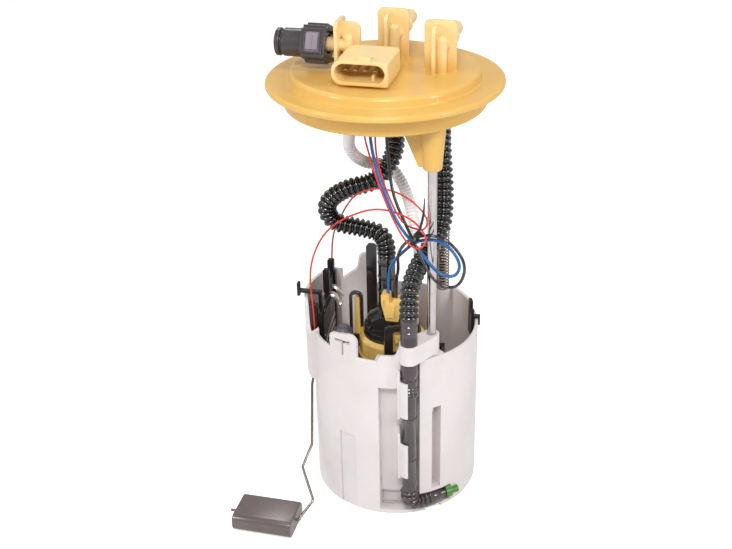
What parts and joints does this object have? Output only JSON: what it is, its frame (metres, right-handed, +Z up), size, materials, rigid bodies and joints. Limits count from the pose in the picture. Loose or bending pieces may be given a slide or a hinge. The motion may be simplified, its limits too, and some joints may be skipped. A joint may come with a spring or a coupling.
{
  "type": "fuel pump module",
  "caption": "In-tank fuel pump module: round cream flange with line nipples and socket over a white reservoir cup on guide rods, with hoses, wires, level sender arm and float.",
  "frame": {"origin": "middle of the foot ring under the reservoir, on the plane the reservoir stands on", "axes": "+Z up along the guide rods, towards the flange; -Y towards the side with the electrical socket and the float; the third line nipple and its coupling point to -X"},
  "size_m": [0.1683, 0.1734, 0.336],
  "materials": {
    "potWhite": "satin moulded acetal",
    "flangeCream": "glossy natural moulding",
    "pinMetal": "tin plate",
    "rodSteel": "ground steel",
    "springSteel": "drawn wire",
    "couplingBlack": "satin black nylon",
    "couplingPad": "grey nylon",
    "sealRubber": "moulded rubber",
    "canSteel": "zinc plate",
    "magnetGrey": "sintered ferrite",
    "rotorSteel": "laminated core",
    "impellerPlastic": "phenolic",
    "canCast": "die cast",
    "capBlack": "black nylon",
    "ringYellow": "yellow acetal",
    "strainerMesh": "woven mesh",
    "regulatorGrey": "dark grey nylon",
    "jetGreen": "green acetal",
    "senderBlack": "black acetal",
    "cardCeramic": "ceramic card with printed tracks",
    "contactMetal": "silver alloy",
    "armSteel": "coated wire",
    "floatFoam": "closed-cell foam",
    "hoseBlack": "convoluted nylon",
    "hoseClear": "natural convoluted nylon",
    "wireBlack": "insulation",
    "wireBlue": "insulation",
    "wireRed": "insulation",
    "tieBlack": "nylon"
  },
  "bodies": {
    "reservoir": {"reservoir": "potWhite", "rim_clip": "senderBlack", "pump_can": "canSteel", "pump_magnets": "magnetGrey", "pump_inlet_cover": "canCast", "pump_end_cap": "capBlack", "pump_ring": "ringYellow", "pump_carrier": "capBlack", "pump_plug": "ringYellow", "strainer": "strainerMesh", "pressure_regulator": "regulatorGrey", "jet_fitting": "jetGreen", "sender_frame": "senderBlack", "sender_card": "cardCeramic", "sender_contacts": "contactMetal", "return_pipe": "hoseBlack"},
    "flange": {"flange": "flangeCream", "connector_pins": "pinMetal", "guide_rod_front": "rodSteel", "guide_rod_rear": "rodSteel", "rod_stop_clip": "springSteel", "return_spring": "springSteel", "feed_hose": "hoseBlack", "return_hose": "hoseBlack", "vent_hose": "hoseClear", "wire_black": "wireBlack", "wire_blue": "wireBlue", "wire_red_near": "wireRed", "wire_red_far": "wireRed", "wire_tie": "tieBlack"},
    "float_arm": {"arm_holder": "senderBlack", "contact_wiper": "contactMetal", "float_arm": "armSteel", "float_keeper": "springSteel"},
    "float": {"level_float": "floatFoam"},
    "pump_rotor": {"pump_rotor": "rotorSteel", "pump_impeller": "impellerPlastic"},
    "coupling": {"quick_connector_body": "couplingBlack", "quick_connector_seals": "sealRubber"},
    "release_front": {"release_button_front": "couplingPad"},
    "release_rear": {"release_button_rear": "couplingPad"},
    "inlet_valve": {"inlet_valve": "sealRubber"}
  },
  "joints": [
    {"name": "flange_slide", "type": "slide", "parent": "reservoir", "child": "flange", "axis": [0, 0, 1], "range_m": [-0.055, 0], "stiffness_N_per_m": 300, "springref_m": 0.07, "deforming": ["return_spring", "feed_hose", "return_hose", "vent_hose", "wire_black", "wire_blue", "wire_red_near", "wire_red_far", "wire_tie"]},
    {"name": "arm_swing", "type": "hinge", "parent": "reservoir", "child": "float_arm", "pos_m": [-0.055, 0.012, 0.078], "axis": [-1, 0, 0], "range_deg": [0, 51]},
    {"name": "float_swivel", "type": "hinge", "parent": "float_arm", "child": "float", "pos_m": [-0.0716, -0.0852, 0.0068], "axis": [-1, 0, 0], "continuous": true},
    {"name": "rotor_spin", "type": "hinge", "parent": "reservoir", "child": "pump_rotor", "pos_m": [0, -0.009, 0.06], "axis": [0, 0, 1], "continuous": true},
    {"name": "coupling_swivel", "type": "hinge", "parent": "flange", "child": "coupling", "pos_m": [-0.055, -0.0108, 0.3203], "axis": [-1, 0, 0], "continuous": true},
    {"name": "release_front_press", "type": "slide", "parent": "coupling", "child": "release_front", "axis": [0, 0.8988, -0.4384], "range_m": [0, 0.0012], "stiffness_N_per_m": 1200, "springref_m": -0.001},
    {"name": "release_rear_press", "type": "slide", "parent": "coupling", "child": "release_rear", "axis": [0, -0.8988, 0.4384], "range_m": [0, 0.0012], "stiffness_N_per_m": 1200, "springref_m": -0.001},
    {"name": "valve_lift", "type": "slide", "parent": "reservoir", "child": "inlet_valve", "axis": [0, 0, 1], "range_m": [0, 0.0018]}
  ],
  "couplings": [
    {"joint": "release_rear_press", "follows": "release_front_press", "ratio": 1}
  ]
}
